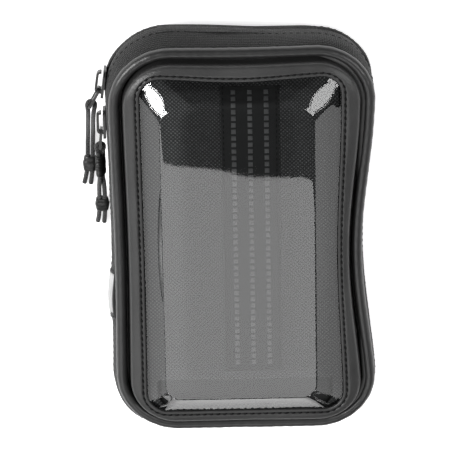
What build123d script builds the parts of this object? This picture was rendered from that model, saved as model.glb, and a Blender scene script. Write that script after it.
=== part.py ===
"""Slim motorcycle tank bag with a boxed phone window in its lid.

The bag lies on its tank side. Millimetres; +Z leaves the tank, +Y points to the
front of the motorcycle (the phone's top edge), +X to the rider's right. The
origin is the centre of the underside. Soft parts are plain solids of the right
size; the lid turns on the hinge gusset at the +Y end.
"""

from build123d import *
from math import atan2, cos, degrees, pi, radians, tan
import os

# ---------------------------------------------------------------- heights
GRIP_TOP = 1.0  # rubbery underside skin
FOAM_TOP = 4.0  # base foam with the magnets
BOARD_TOP = 5.0  # base stiffener
LINING_TOP = 5.6  # base lining
BACK_GUSSET_TOP = 12.0
LOWER_TAPE_TOP = 14.6
ZIP_Z = 16.0  # where the two rows of coil meet
COIL_GAP = 0.1  # from ZIP_Z to either coil
UPPER_TAPE_BOTTOM = 17.4
UPPER_TAPE_TOP = 20.0
GUSSET_TOP = 26.8
WELT_Z = 29.6  # middle of the lid's welt
FACE_BOTTOM = 28.6  # lower edge of the face's foam
FACE_TOP = 36.0  # face at the window's edge
FILM_TOP = 43.0
POCKET_BACK = (32.9, 33.9)
FILM_FLANGE = (34.1, 34.7)

# ---------------------------------------------------------------- thicknesses
CLOTH = 1.2
SKIN = 1.4  # imitation leather of the face
FILM = 0.6
LID_LINING = 0.6
TAPE = 1.0
COIL_DEEP = 2.2
FIT = 0.1  # between pieces that only touch

# ---------------------------------------------------------------- welts
LID_WELT = (2.4, 2.4, 1.3)  # its middle beyond VALLEY, radius, bore
WELT_CORE = 1.25  # radius
BASE_WELT = (2.2, 1.4, 1.2)  # its middle beyond BASE, height, radius

# ---------------------------------------------------------------- outlines
# left x, right x, how far each side is drawn in at its waist, top y, bottom y,
# how far the top edge dips in its middle, corner radius
BASE = dict(left=-52.4, right=52.6, waist=(0.0, 4.0), top=86.4, bottom=-90.5, dip=0.0, radius=25.0)
ZIP = dict(left=-56.9, right=56.9, waist=(0.0, 4.0), top=95.7, bottom=-94.0, dip=0.0, radius=26.0)
WELT = dict(left=-53.2, right=55.6, waist=(0.9, 4.6), top=91.2, bottom=-89.8, dip=0.7, radius=24.0)
VALLEY = dict(left=-50.8, right=52.7, waist=(0.9, 4.4), top=88.1, bottom=-87.1, dip=0.7, radius=22.0)
HEAD = dict(left=-36.2, right=35.4, waist=(0.0, 0.0), top=71.4, bottom=-73.8, dip=0.0, radius=9.0)
WINDOW = dict(left=-40.7, right=42.5, waist=(0.2, 1.6), top=80.3, bottom=-78.8, dip=1.8, radius=8.0)

ZIP_END_X = 33.0  # the zip stops this far out on the front end
HINGE_IN = 0.3  # from ZIP to the hinge cloth
PANEL_IN = 0.4  # from VALLEY to the face's lower edge
PANEL_BEVEL = 4.4  # how far the face's top edge falls
PANEL_BEVEL_MORE = 1.6  # and how much further it reaches in than it falls
BINDING = (3.2, 0.7)  # the window's edging: wide, high
FLANGE_WIDE = 3.0  # how far the film runs under the frame
WINDOW_X = (WINDOW["left"] + WINDOW["right"]) / 2
LINING_RING = (1.9, 9.0)  # the lid lining's edges, inside VALLEY
POCKET_MOUTH_Y = (-78.0, -65.0)

# ---------------------------------------------------------------- joints
FLAP_AXIS = (-60.0, 32.6)  # y, z

# ---------------------------------------------------------------- zip sliders
PLATE = (1.1, 13.4, 9.0)  # thick, long along the zip, wide across it
PLATE_OFF = 0.4  # from the coil to the plate
ARCH = (2.9, 10.4, 2.4)  # stands out, long, wide
ARCH_BAR = 1.1
LINK_EYE = 2.0  # from the plate's inner face to the link's near bar
LINK_BACK = 3.2  # how far the near bar lies behind the slider's middle
LINK = (10.5, 5.2, 1.2)  # long, wide, wire
SLIDERS = {
    # name: middle of the plate's inner face (x, y), turn about Z in degrees
    "upper": ((-57.2, 71.4), -8.0),
    "lower": ((ZIP["left"] - PLATE_OFF, 52.4), 0.0),
}

# ---------------------------------------------------------------- pull cords
CORD_D = 2.0
CRIMP = (7.0, 5.9, 3.2)  # long, wide, high
CRIMP_BORE = (4.9, 2.4)
ROUTES = {
    # one doubled cord each: tail, crimp, leg, fold in the link, leg, crimp, tail
    "upper": [
        (-67.9, 16.3, 1.2), (-66.5, 21.5, 1.8), (-66.0, 30.7, 1.8), (-65.8, 36.4, 2.2),
        (-65.5, 41.9, 3.9), (-65.3, 47.1, 7.6), (-65.1, 52.2, 12.2), (-65.0, 57.5, 15.4),
        (-65.5, 61.7, 16.0), (-63.3, 62.9, 16.0), (-61.1, 61.5, 16.0), (-62.1, 57.3, 15.4),
        (-62.5, 52.0, 12.2), (-62.8, 47.0, 7.6), (-63.1, 41.8, 3.9), (-63.4, 36.3, 2.2),
        (-63.7, 30.6, 1.8), (-64.2, 21.4, 1.8), (-65.1, 15.9, 1.2),
    ],
    "lower": [
        (-62.6, -2.5, 1.3), (-61.5, 3.1, 3.0), (-61.4, 12.1, 5.6), (-61.4, 18.1, 7.9),
        (-61.5, 24.6, 10.6), (-61.4, 31.1, 13.6), (-61.6, 37.1, 15.7), (-62.2, 41.4, 16.0),
        (-60.0, 42.7, 16.0), (-57.8, 41.4, 16.0), (-58.4, 37.1, 15.7), (-58.7, 31.1, 13.6),
        (-58.9, 24.6, 10.6), (-59.0, 18.1, 7.9), (-59.1, 12.1, 5.6), (-59.2, 3.1, 3.0),
        (-59.8, -2.9, 1.3),
    ],
}

# ---------------------------------------------------------------- small pieces
MAGNET = (12.0, 3.0)  # radius, thickness
MAGNET_AT = [(-30, 60), (30, 60), (-30, -60), (30, -60)]
KEEPER = (25.0, 140.0, 0.8)  # the woven tape in the pocket
KEEPER_AT = (4.5, 72.0)  # its middle x and its head
RIB_ROWS = (-7.0, 0.0, 7.0)
RIB_STEP = 4.0
RIB = (2.4, 1.4, 0.3)
FLAP = (74.0, 21.5, 0.9)
FLAP_DROP = 0.9  # the flap hangs this far below its axis
STRIP = (66.0, 3.2)  # hook and loop strips: long, wide
LOOP_BOTTOM = 32.3
HOOK_THICK = 0.4
TAB = (7.0, 1.0, 5.4)  # the sewn tab at each end of the zip
TAB_X = 26.0
LABEL = (35.0, 6.0, 0.8)  # long, high, thick
LABEL_AT = (-55.9, -33.5, 24.4)
LABEL_LEAN = 24.6


def outline(shape, grow=0.0):
    """A waisted rounded rectangle on the XY plane, grown outwards by grow."""
    left = shape["left"] - grow
    right = shape["right"] + grow
    top = shape["top"] + grow
    bottom = shape["bottom"] - grow
    waist_left, waist_right = shape["waist"]
    sides = [
        Line((left, bottom), (right, bottom)),
        side((right, bottom), (right - waist_right, (top + bottom) / 2), (right, top)),
        side((right, top), ((left + right) / 2, top - shape["dip"]), (left, top)),
        side((left, top), (left + waist_left, (top + bottom) / 2), (left, bottom)),
    ]
    face = make_face(Curve() + sides)
    return fillet(face.vertices(), shape["radius"] + grow)


def side(start, middle, end):
    """A straight side, or an arc where its middle is drawn in."""
    halfway = (Vector(*start) + Vector(*end)) * 0.5
    if (halfway - Vector(*middle)).length < 1e-6:
        return Line(start, end)
    return ThreePointArc(start, middle, end)


def slab(face, low, high):
    """A flat piece with this outline, from one height to another."""
    return extrude(Pos(0, 0, low) * face, amount=high - low)


def ring(shape, out, inner, low, high):
    """An upright band: from out beyond the outline to inner beyond it."""
    return slab(outline(shape, out) - outline(shape, inner), low, high)


def wall(shape_a, z_a, shape_b, z_b, thick):
    """A leaning side wall of cloth between two outlines."""
    outer = loft([Pos(0, 0, z_a) * outline(shape_a), Pos(0, 0, z_b) * outline(shape_b)])
    inner = loft(
        [Pos(0, 0, z_a) * outline(shape_a, -thick), Pos(0, 0, z_b) * outline(shape_b, -thick)]
    )
    return outer - inner


def tube(shape, out, z, radius, bore=0.0):
    """A closed round cord that follows the outline."""
    path = outline(shape, out).wire().moved(Location((0, 0, z)))
    at = Plane(origin=path @ 0, z_dir=path % 0)
    section = at * Circle(radius)
    if bore:
        section -= at * Circle(bore)
    return sweep(section, path=path)


def front_end(low, high, grow=0.0):
    """The box over the front end between the zip's two ends."""
    width = 2 * (ZIP_END_X + grow)
    return Pos(0, ZIP["top"], (low + high) / 2) * Box(width, 30, high - low)


# ---------------------------------------------------------------- base
def base_parts():
    magnets = Sketch() + [Pos(x, y) * Circle(MAGNET[0]) for x, y in MAGNET_AT]
    inside = outline(BASE, -CLOTH)
    foam = slab(inside, GRIP_TOP, FOAM_TOP) - slab(magnets, GRIP_TOP, FOAM_TOP)
    gusset = wall(BASE, GRIP_TOP, ZIP, BACK_GUSSET_TOP, CLOTH)
    return {
        "base_grip": slab(outline(BASE), 0, GRIP_TOP),
        "base_foam": foam,
        "base_magnets": slab(magnets, GRIP_TOP, GRIP_TOP + MAGNET[1]),
        "base_board": slab(inside, FOAM_TOP, BOARD_TOP),
        "base_lining": slab(inside, BOARD_TOP, LINING_TOP),
        "back_gusset": gusset,
        "base_welt": tube(BASE, *BASE_WELT),
    }


def zip_end_tab(sign):
    """A sewn tab inside the leaning gusset, below the end of the zip."""
    rise = BACK_GUSSET_TOP - GRIP_TOP
    lean = degrees(atan2(ZIP["top"] - BASE["top"], rise))
    z = (LINING_TOP + BACK_GUSSET_TOP) / 2
    wall_y = BASE["top"] + (ZIP["top"] - BASE["top"]) * (z - GRIP_TOP) / rise
    y = wall_y - CLOTH - TAB[1] / 2 / cos(radians(lean)) - FIT
    return Pos(sign * TAB_X, y, z) * Rot(-lean, 0, 0) * Box(*TAB)


def zip_parts():
    """Tapes and coils on three sides, and the plain hinge cloth on the fourth."""
    cut = front_end(BACK_GUSSET_TOP, UPPER_TAPE_TOP)
    coil_low = ZIP_Z - COIL_GAP
    coil_high = ZIP_Z + COIL_GAP
    tape = (-TAPE, -2 * TAPE)
    coil = (0, -COIL_DEEP)
    hinge = ring(ZIP, -HINGE_IN, -HINGE_IN - CLOTH, BACK_GUSSET_TOP, UPPER_TAPE_TOP)
    tabs = Part() + [zip_end_tab(sign) for sign in (-1, 1)]
    return {
        "lower_zip_tape": ring(ZIP, *tape, BACK_GUSSET_TOP, LOWER_TAPE_TOP) - cut,
        "lower_zip_coil": ring(ZIP, *coil, LOWER_TAPE_TOP, coil_low) - cut,
        "upper_zip_coil": ring(ZIP, *coil, coil_high, UPPER_TAPE_BOTTOM) - cut,
        "upper_zip_tape": ring(ZIP, *tape, UPPER_TAPE_BOTTOM, UPPER_TAPE_TOP) - cut,
        "hinge_gusset": hinge & front_end(BACK_GUSSET_TOP, UPPER_TAPE_TOP, -HINGE_IN),
        "zip_end_tabs": tabs,
    }


# ---------------------------------------------------------------- lid
def face_block(grow, top, bevel):
    """The padded frame's outer form: its top edge falls away to the welt."""
    block = slab(outline(VALLEY, grow), FACE_BOTTOM, top)
    edge = block.faces().sort_by(Axis.Z)[-1].edges()
    return chamfer(edge, bevel, bevel + PANEL_BEVEL_MORE)


def face_parts():
    opening = slab(outline(WINDOW), 0, 2 * FACE_TOP)
    outer = face_block(-PANEL_IN, FACE_TOP, PANEL_BEVEL)
    inner = face_block(-PANEL_IN - SKIN, FACE_TOP - SKIN, PANEL_BEVEL - SKIN / 2 + FIT)
    under_film = slab(outline(WINDOW, FLANGE_WIDE + 2 * FIT), 0, FILM_FLANGE[1])
    skin = outer - inner - opening - under_film
    foam = inner - slab(outline(WINDOW, FLANGE_WIDE + 4 * FIT), 0, 2 * FACE_TOP)
    wide, high = BINDING
    binding = ring(WINDOW, wide, 0.0, FACE_TOP, FACE_TOP + high)
    return {
        "face_panel": skin,
        "face_foam": foam,
        "window_binding": binding,
    }


def film():
    """Flange under the frame, leaning walls, flat top."""
    low, high = FILM_FLANGE
    foot = outline(WINDOW, -FIT)
    head = outline(HEAD)
    inner_foot = outline(WINDOW, -FIT - FILM)
    inner_head = outline(HEAD, -FILM * 0.6)
    outer = loft([Pos(0, 0, low) * foot, Pos(0, 0, FILM_TOP) * head])
    inner = loft([Pos(0, 0, low) * inner_foot, Pos(0, 0, FILM_TOP - FILM) * inner_head])
    flange = ring(WINDOW, FLANGE_WIDE, -FIT - FILM, low, high)
    return outer + flange - inner


def pocket_parts():
    low, high = POCKET_BACK
    sheet = slab(outline(WINDOW, FLANGE_WIDE), low, high)
    mouth_low, mouth_high = POCKET_MOUTH_Y
    length = mouth_high - mouth_low
    wide = FLAP[0] + 4
    mouth = Pos(WINDOW_X, (mouth_low + mouth_high) / 2, low) * Box(wide, length, 10)
    tape_x, head = KEEPER_AT
    tape = Pos(tape_x, head - KEEPER[1] / 2, high + KEEPER[2] / 2) * Box(*KEEPER)
    ribs = Part()
    for row in RIB_ROWS:
        for step in range(1, int(KEEPER[1] / RIB_STEP)):
            y = head - RIB_STEP * step
            ribs += Pos(tape_x + row, y, high + KEEPER[2] + RIB[2] / 2) * Box(*RIB)
    long, across = STRIP
    loop_y = mouth_low - across / 2 - 4 * FIT
    thick = low - LOOP_BOTTOM
    loop = Pos(WINDOW_X, loop_y, LOOP_BOTTOM + thick / 2) * Box(long, across, thick)
    return {
        "pocket_back": sheet - mouth,
        "keeper_tape": tape + ribs,
        "mouth_loop_strip": loop,
    }


def lid_parts():
    out, radius, bore = LID_WELT
    gusset = wall(ZIP, UPPER_TAPE_TOP, WELT, GUSSET_TOP, CLOTH)
    long, high, thick = LABEL
    x, y, z = LABEL_AT
    label = Pos(x - thick, y, z) * Rot(0, LABEL_LEAN, 0) * Box(thick, long, high)
    near, far = LINING_RING
    lining = ring(VALLEY, -near, -far, FACE_BOTTOM - LID_LINING, FACE_BOTTOM)
    width, length, _ = FLAP
    swept = Pos(WINDOW_X, FLAP_AXIS[0] - length / 2, FACE_BOTTOM) * Box(width + 1.6, length + 1.2, 10)
    parts = {
        "front_gusset": gusset,
        "lid_welt": tube(VALLEY, out, WELT_Z, radius, bore),
        "welt_core": tube(VALLEY, out, WELT_Z, WELT_CORE),
        "window_film": film(),
        "lid_lining": lining - swept,
        "side_label": label,
    }
    parts.update(face_parts())
    parts.update(pocket_parts())
    return parts


# ---------------------------------------------------------------- pocket closure
def flap_parts():
    width, length, thick = FLAP
    y, z = FLAP_AXIS
    flap = Pos(WINDOW_X, y - length / 2, z - FLAP_DROP - thick / 2) * Box(width, length, thick)
    root = Pos(WINDOW_X, y - 1.5, z - FLAP_DROP / 2) * Box(width, 3.0, FLAP_DROP)
    long, across = STRIP
    hook_y = y - length + across / 2 + 2 * FIT
    hook_z = z - FLAP_DROP + HOOK_THICK / 2
    hook = Pos(WINDOW_X, hook_y, hook_z) * Box(long, across, HOOK_THICK)
    return {
        "mouth_flap": flap + root,
        "flap_hook_strip": hook,
    }


# ---------------------------------------------------------------- sliders and pulls
def place(name):
    (x, y), turn = SLIDERS[name]
    return Pos(x, y, ZIP_Z) * Rot(0, 0, turn)


def slider(name):
    """Front plate, the rib under the lower coil, and the arch for the link."""
    thick, long, wide = PLATE
    out, arch_long, arch_wide = ARCH
    plate = Pos(-thick / 2, 0, 0) * Box(thick, long, wide)
    plate = fillet(plate.edges().filter_by(Axis.X), 2.5)
    rib = Pos(0.45, 0, -2.8) * Box(0.9, long - 4, 2.2)
    arch_mid = -thick - out / 2
    arch = Pos(arch_mid, 0, 0) * Box(out, arch_long, arch_wide)
    far = arch.faces().sort_by(Axis.X)[0].edges().filter_by(Axis.Z)
    arch = fillet(far, 1.9)
    eye_out = out - ARCH_BAR
    eye = Pos(-thick - eye_out / 2, 0, 0) * Box(eye_out, arch_long - 2 * ARCH_BAR, arch_wide)
    inner = eye.faces().sort_by(Axis.X)[0].edges().filter_by(Axis.Z)
    eye = fillet(inner, 0.7)
    gap = Pos(-thick - 0.35, arch_long / 2 - ARCH_BAR / 2, 0) * Box(0.7, ARCH_BAR, arch_wide)
    return place(name) * (plate + rib + (arch - eye - gap))


def link_ends(name):
    """The link's near bar in the arch, and its far bar in the cord's fold."""
    near = (place(name) * Pos(-LINK_EYE, -LINK_BACK, 0)).position
    route = [Vector(*p) for p in ROUTES[name]]
    middle = len(route) // 2
    fold = (route[middle - 1] + route[middle + 1]) * 0.5
    toward = fold - near
    return near, toward.normalized()


def link(name):
    long, wide, wire = LINK
    near, toward = link_ends(name)
    middle = near + toward * ((long - wire) / 2)
    turn = degrees(atan2(toward.Y, toward.X))
    band = Box(long, wire, wide)
    band = fillet(band.edges().filter_by(Axis.Y), 1.6)
    hole = Box(long - 2 * wire, wire, wide - 2 * wire)
    hole = fillet(hole.edges().filter_by(Axis.Y), 0.5)
    return Pos(middle.X, middle.Y, ZIP_Z) * Rot(0, 0, turn) * (band - hole)


def cord(name):
    """The doubled pull cord; every corner's arc is as large as its runs allow."""
    points = [Vector(*p) for p in ROUTES[name]]
    radii = []
    for before, at, after in zip(points, points[1:], points[2:]):
        run_in = at - before
        run_out = after - at
        half = radians(run_in.get_angle(run_out)) / 2
        radii.append(0.45 * min(run_in.length, run_out.length) / tan(half))
    path = FilletPolyline(*points, radius=radii)
    section = Plane(origin=path @ 0, z_dir=path % 0) * Circle(CORD_D / 2)
    solid = sweep(section, path=path)
    area = pi * CORD_D**2 / 4
    print(name, "cord: length", round(path.length, 1), "radii", [round(r, 1) for r in radii])
    print("  volume", round(solid.volume, 2), "section x length", round(area * path.length, 2))
    return solid


def crimp(name):
    """An oval sleeve round both legs."""
    long, wide, high = CRIMP
    route = [Vector(*p) for p in ROUTES[name]]
    start = (route[1] + route[-2]) * 0.5
    end = (route[2] + route[-3]) * 0.5
    across = (route[1] - route[-2]).normalized()
    at = Plane(origin=(start + end) * 0.5, x_dir=across, z_dir=end - start)
    sleeve = SlotOverall(wide, high) - SlotOverall(*CRIMP_BORE)
    return extrude(at * sleeve, amount=long / 2, both=True)


def pull_parts(name):
    return {
        f"{name}_slider": slider(name),
        f"{name}_pull_link": link(name),
        f"{name}_pull_cord": cord(name),
        f"{name}_pull_crimp": crimp(name),
    }


def main():
    os.makedirs("parts", exist_ok=True)
    parts = {}
    parts.update(base_parts())
    parts.update(zip_parts())
    parts.update(lid_parts())
    parts.update(flap_parts())
    for name in SLIDERS:
        parts.update(pull_parts(name))
    for name, shape in parts.items():
        export_step(shape, f"parts/{name}.step")
    for name in SLIDERS:
        near = link_ends(name)[0]
        print(name, "pull turns about Z at", round(near.X, 2), round(near.Y, 2))


main()
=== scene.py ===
"""Looks of the slim motorcycle tank bag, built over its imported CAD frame."""

import math
import random

import bmesh
import bpy
import numpy as np
from mathutils import Matrix, Vector, noise


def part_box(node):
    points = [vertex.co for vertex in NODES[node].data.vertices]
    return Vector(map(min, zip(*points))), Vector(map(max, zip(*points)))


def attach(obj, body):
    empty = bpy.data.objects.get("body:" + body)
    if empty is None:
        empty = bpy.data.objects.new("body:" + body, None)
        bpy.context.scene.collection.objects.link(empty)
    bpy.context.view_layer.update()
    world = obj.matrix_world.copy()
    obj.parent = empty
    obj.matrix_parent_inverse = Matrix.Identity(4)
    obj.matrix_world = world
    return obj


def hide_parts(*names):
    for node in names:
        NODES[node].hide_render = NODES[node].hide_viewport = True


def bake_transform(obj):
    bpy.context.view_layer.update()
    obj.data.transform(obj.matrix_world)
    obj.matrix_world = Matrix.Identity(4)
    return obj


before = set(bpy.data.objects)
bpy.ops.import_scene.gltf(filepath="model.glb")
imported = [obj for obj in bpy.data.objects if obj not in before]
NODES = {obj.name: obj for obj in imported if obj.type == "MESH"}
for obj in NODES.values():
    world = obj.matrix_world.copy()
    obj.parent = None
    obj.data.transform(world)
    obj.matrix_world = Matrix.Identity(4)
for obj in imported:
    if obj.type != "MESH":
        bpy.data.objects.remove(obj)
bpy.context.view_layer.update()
MM = 0.001
rng = random.Random(7)

FILM_SHINE = 1.4  # the film's mirror share, as a multiple of its Fresnel value
FLOOR_GLOW = 0.68  # light the floor gives off itself, which fades the shadow

# ------------------------------------------------------------------ materials


class Mat:
    """A procedural material: a Principled shader and short ways to add nodes."""

    def __init__(self, name, **constants):
        self.m = bpy.data.materials.new(name)
        self.m.use_nodes = True
        self.t = self.m.node_tree
        self.t.nodes.clear()
        self.out = self.add("ShaderNodeOutputMaterial")
        self.bsdf = self.add("ShaderNodeBsdfPrincipled")
        self.link(self.bsdf.outputs[0], self.out.inputs[0])
        for key, value in constants.items():
            self.bsdf.inputs[key.replace("_", " ")].default_value = value

    def add(self, kind, **props):
        n = self.t.nodes.new(kind)
        for key, value in props.items():
            setattr(n, key, value)
        return n

    def link(self, a, b):
        self.t.links.new(a, b)

    def put(self, socket, value):
        if isinstance(value, (int, float, tuple, list)):
            socket.default_value = value
        else:
            self.link(value, socket)

    def math(self, op, a, b=None):
        n = self.add("ShaderNodeMath", operation=op)
        self.put(n.inputs[0], a)
        if b is not None:
            self.put(n.inputs[1], b)
        return n.outputs[0]

    def span(self, value, lo, hi, a, b):
        n = self.add("ShaderNodeMapRange")
        self.put(n.inputs["Value"], value)
        for key, v in (("From Min", lo), ("From Max", hi), ("To Min", a), ("To Max", b)):
            self.put(n.inputs[key], v)
        return n.outputs[0]

    def coords(self, kind="Object"):
        return self.add("ShaderNodeTexCoord").outputs[kind]

    def xyz(self, vector):
        n = self.add("ShaderNodeSeparateXYZ")
        self.link(vector, n.inputs[0])
        return n.outputs[0], n.outputs[1], n.outputs[2]

    def noise(self, vector, scale, detail=3.0, rough=0.55):
        n = self.add("ShaderNodeTexNoise")
        self.link(vector, n.inputs["Vector"])
        n.inputs["Scale"].default_value = scale
        n.inputs["Detail"].default_value = detail
        n.inputs["Roughness"].default_value = rough
        return n.outputs["Fac"]

    def cells(self, vector, scale):
        n = self.add("ShaderNodeTexVoronoi", feature="F1")
        self.link(vector, n.inputs["Vector"])
        n.inputs["Scale"].default_value = scale
        return n.outputs["Distance"]

    def blend(self, fac, a, b):
        n = self.add("ShaderNodeMix", data_type="RGBA")
        self.put(n.inputs[0], fac)
        self.put(n.inputs[6], a)
        self.put(n.inputs[7], b)
        return n.outputs[2]

    def colour(self, value):
        self.put(self.bsdf.inputs["Base Color"], value)

    def rough(self, value):
        self.put(self.bsdf.inputs["Roughness"], value)

    def bump(self, height, distance, strength=1.0):
        n = self.add("ShaderNodeBump")
        n.inputs["Strength"].default_value = strength
        n.inputs["Distance"].default_value = distance
        self.link(height, n.inputs["Height"])
        self.link(n.outputs[0], self.bsdf.inputs["Normal"])


def grey(v):
    return (v, v, v, 1)


def weave(m, pitch_u, pitch_v):
    """Height of a plain weave, 0 to 1; UVs are in millimetres."""
    u, v, _ = m.xyz(m.coords("UV"))
    su = m.math("SINE", m.math("MULTIPLY", u, math.pi / pitch_u))
    sv = m.math("SINE", m.math("MULTIPLY", v, math.pi / pitch_v))
    over = m.math("GREATER_THAN", m.math("MULTIPLY", su, sv), 0.0)
    au = m.math("ABSOLUTE", su)
    av = m.math("ABSOLUTE", sv)
    warp = m.math("MULTIPLY", m.math("POWER", av, 0.6), m.math("ADD", m.math("MULTIPLY", au, 0.5), 0.5))
    weft = m.math("MULTIPLY", m.math("POWER", au, 0.6), m.math("ADD", m.math("MULTIPLY", av, 0.5), 0.35))
    n = m.add("ShaderNodeMix", data_type="FLOAT")
    m.put(n.inputs[0], over)
    m.put(n.inputs[2], warp)
    m.put(n.inputs[3], weft)
    return n.outputs[0]


def cloth_material(name, dark, light, pitch, bump=0.00012, rough=(0.62, 0.82), sheen=0.25):
    m = Mat(name, Specular_IOR_Level=0.35, Sheen_Weight=sheen, Sheen_Roughness=0.45)
    h = weave(m, pitch, pitch * 0.9)
    o = m.coords("Object")
    broad = m.noise(o, 45, 3)
    fine = m.noise(o, 2600, 2)
    fac = m.math("MULTIPLY", h, m.span(broad, 0.3, 0.7, 0.65, 1.1))
    m.colour(m.blend(fac, grey(dark), grey(light)))
    m.rough(m.span(fine, 0.3, 0.7, *rough))
    m.bump(m.math("ADD", h, m.math("MULTIPLY", fine, 0.35)), bump)
    return m.m


def leather_material(name, dark, light, rough=(0.36, 0.5), grain=1500, depth=0.00006, coat=0.0):
    m = Mat(name, Specular_IOR_Level=0.5, Coat_Weight=coat, Coat_Roughness=0.3)
    o = m.coords("Object")
    pores = m.cells(o, grain)
    broad = m.noise(o, 38, 4)
    fine = m.noise(o, 900, 4)
    shade = m.math("ADD", broad, m.math("MULTIPLY", fine, 0.4))
    m.colour(m.blend(m.span(shade, 0.4, 1.0, 0, 1), grey(dark), grey(light)))
    m.rough(m.span(m.math("ADD", pores, broad), 0.3, 1.1, *rough))
    height = m.math("ADD", m.math("MULTIPLY", pores, 0.8), m.math("MULTIPLY", fine, 0.9))
    m.bump(height, depth)
    return m.m


def plastic_material(name, dark, light, rough=(0.35, 0.5), spec=0.5, bump=0.00003, scale=700):
    m = Mat(name, Specular_IOR_Level=spec)
    o = m.coords("Object")
    a = m.noise(o, scale, 3)
    b = m.noise(o, 60, 2)
    m.colour(m.blend(m.span(b, 0.3, 0.7, 0, 1), grey(dark), grey(light)))
    m.rough(m.span(a, 0.3, 0.7, *rough))
    m.bump(a, bump)
    return m.m


def coated_metal(name, dark, worn):
    """Black lacquer over cast zinc, thinner along its edges."""
    m = Mat(name, Specular_IOR_Level=0.6, Coat_Weight=0.35, Coat_Roughness=0.22)
    o = m.coords("Object")
    a = m.noise(o, 500, 4)
    edge = m.add("ShaderNodeNewGeometry").outputs["Pointiness"]
    wear = m.math("MULTIPLY", m.span(edge, 0.52, 0.6, 0, 1), m.span(a, 0.45, 0.65, 0, 1))
    m.colour(m.blend(wear, grey(dark), grey(worn)))
    m.rough(m.span(a, 0.3, 0.7, 0.28, 0.45))
    m.bump(a, 0.00002)
    return m.m


def braid_material(name, dark, light):
    """A fine braid: two crossing sets of strands along the cord's own UVs."""
    m = Mat(name, Specular_IOR_Level=0.3, Sheen_Weight=0.3, Sheen_Roughness=0.5)
    o = m.coords("Object")
    x, y, z = m.xyz(o)
    along = m.math("MULTIPLY", y, 2 * math.pi / 0.0016)
    side = m.math("MULTIPLY", m.math("ADD", x, z), 2 * math.pi / 0.0013)
    a = m.math("SINE", m.math("ADD", along, side))
    b = m.math("SINE", m.math("SUBTRACT", along, side))
    h = m.math("MAXIMUM", a, b)
    fuzz = m.noise(o, 2500, 3)
    m.colour(m.blend(m.span(h, -0.4, 1.0, 0, 1), grey(dark), grey(light)))
    m.rough(m.span(fuzz, 0.3, 0.7, 0.6, 0.85))
    m.bump(m.math("ADD", h, m.math("MULTIPLY", fuzz, 0.8)), 0.00018)
    return m.m


def dotted_material(name):
    """Black cloth with fine raised dots set corner to corner, 1.25 mm apart."""
    m = Mat(name, Specular_IOR_Level=0.5)
    u, v, _ = m.xyz(m.coords("UV"))
    pitch = 1.25
    a = m.math("DIVIDE", m.math("ADD", u, v), pitch * math.sqrt(2))
    b = m.math("DIVIDE", m.math("SUBTRACT", u, v), pitch * math.sqrt(2))
    fa = m.math("SUBTRACT", m.math("FRACT", a), 0.5)
    fb = m.math("SUBTRACT", m.math("FRACT", b), 0.5)
    r = m.math("SQRT", m.math("ADD", m.math("MULTIPLY", fa, fa), m.math("MULTIPLY", fb, fb)))
    dot = m.span(r, 0.2, 0.4, 1, 0)
    o = m.coords("Object")
    fine = m.noise(o, 1800, 3)
    fac = m.math("MULTIPLY", dot, m.span(fine, 0.35, 0.65, 0.35, 1.0))
    m.colour(m.blend(fac, grey(0.018), grey(0.15)))
    m.rough(m.span(m.noise(o, 300, 3), 0.3, 0.7, 0.42, 0.62))
    m.bump(m.math("ADD", dot, m.math("MULTIPLY", fine, 0.3)), 0.0002)
    return m.m


def film_material(name):
    """Clear soft film: passes light straight through and mirrors by angle."""
    m = Mat(name, Base_Color=(1, 1, 1, 1), Metallic=1.0)
    o = m.coords("Object")
    m.rough(m.span(m.noise(o, 420, 3, 0.5), 0.3, 0.7, 0.01, 0.024))
    m.bump(m.noise(o, 24, 2, 0.5), 0.0006, strength=0.05)
    clear = m.add("ShaderNodeBsdfTransparent")
    clear.inputs[0].default_value = (0.93, 0.945, 0.95, 1)
    mirror = m.add("ShaderNodeFresnel")
    mirror.inputs["IOR"].default_value = 1.56
    share = m.add("ShaderNodeMath", operation="MULTIPLY", use_clamp=True)
    share.inputs[1].default_value = FILM_SHINE
    mix = m.add("ShaderNodeMixShader")
    m.link(mirror.outputs[0], share.inputs[0])
    m.link(share.outputs[0], mix.inputs[0])
    m.link(clear.outputs[0], mix.inputs[1])
    m.link(m.bsdf.outputs[0], mix.inputs[2])
    m.link(mix.outputs[0], m.out.inputs[0])
    return m.m


def floor_material():
    m = Mat("floor_paper")
    o = m.coords("Object")
    m.colour(m.blend(m.noise(o, 3, 2), grey(0.90), grey(0.92)))
    m.rough(m.span(m.noise(o, 20, 2), 0.3, 0.7, 0.75, 0.9))
    m.bsdf.inputs["Emission Color"].default_value = (1, 1, 1, 1)
    m.bsdf.inputs["Emission Strength"].default_value = FLOOR_GLOW
    return m.m


CORDURA = cloth_material("cordura", 0.001, 0.014, 0.95, bump=0.00026, sheen=0.1)
LINING = cloth_material("lining_taffeta", 0.008, 0.022, 0.45, bump=0.00006, rough=(0.5, 0.7))
TAPE = cloth_material("tape_weave", 0.01, 0.034, 0.55)
LEATHER = leather_material("panel_leather", 0.024, 0.04, rough=(0.3, 0.42), depth=0.00008)
WELT = leather_material("welt_skin", 0.014, 0.022, rough=(0.3, 0.42), grain=1900, depth=0.00004, coat=0.15)
EDGING = leather_material("edging_skin", 0.024, 0.036, rough=(0.34, 0.48), grain=1900, depth=0.00004)
THREAD = plastic_material("thread", 0.003, 0.008, rough=(0.6, 0.8), spec=0.2, bump=0.00006, scale=2500)
DOTTED = dotted_material("dotted_cloth")
FILM = film_material("clear_film")
COIL = plastic_material("coil_nylon", 0.008, 0.016, rough=(0.32, 0.5))
RUBBER = plastic_material("grip_rubber", 0.018, 0.028, rough=(0.7, 0.9), spec=0.3, bump=0.00008)
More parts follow.
